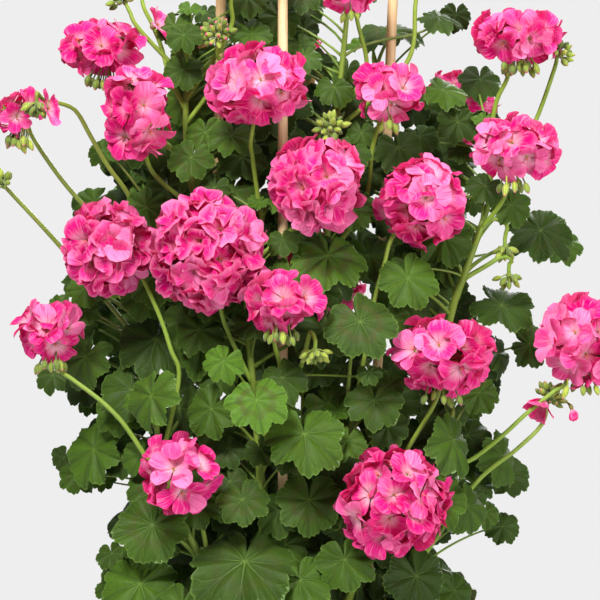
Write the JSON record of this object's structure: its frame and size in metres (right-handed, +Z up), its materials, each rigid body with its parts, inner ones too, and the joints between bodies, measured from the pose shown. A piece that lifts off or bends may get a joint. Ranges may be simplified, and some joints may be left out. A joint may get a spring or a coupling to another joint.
{
  "type": "potted climbing geranium",
  "caption": "Flowering geranium with rounded scalloped leaves and pink umbels, climbing on bamboo canes in a plain tapered terracotta pot.",
  "frame": {"origin": "middle of the pot's flat underside, on the surface that it stands on", "axes": "+Z up along the canes, the plant's front faces -Y, +X to the right as seen from the front"},
  "size_m": [0.6332, 0.4507, 1.0102],
  "materials": {
    "terracotta": "matt fired clay, slightly rough",
    "soil": "loose dark crumbly potting soil",
    "bamboo": "satin dry bamboo with paler knots",
    "greenery": "soft green leaf and stem, finely haired, low sheen",
    "petals": "silky hot pink petal with darker veins and a pale eye"
  },
  "bodies": {
    "root": {"pot": "terracotta", "soil": "soil", "cane_left": "bamboo", "cane_front": "bamboo", "cane_right": "bamboo", "cane_back": "bamboo", "stem_left_low": "greenery", "stem_left_middle": "greenery", "stem_left_high": "greenery", "stem_front_middle": "greenery", "stem_front_low": "greenery", "stem_centre_high": "greenery", "stem_right_low": "greenery", "stem_right_high": "greenery", "stem_back_left": "greenery", "stem_back_right": "greenery", "stem_back_middle": "greenery", "head_upper_left": "petals", "head_left_loose": "petals", "head_far_left_high": "petals", "head_upper_centre": "petals", "head_upper_right": "petals", "head_centre": "petals", "head_top_right": "petals", "head_right_high": "petals", "head_right_middle": "petals", "head_left_middle": "petals", "head_largest": "petals", "head_far_left_low": "petals", "head_middle": "petals", "head_right_low": "petals", "head_far_right": "petals", "head_bottom_left": "petals", "head_bottom_right": "petals", "head_crown_middle": "petals", "head_crown_left": "petals", "head_crown_right": "petals", "head_back_left": "petals", "head_back_middle": "petals", "head_back_high": "petals", "head_back_right": "petals"}
  },
  "joints": []
}
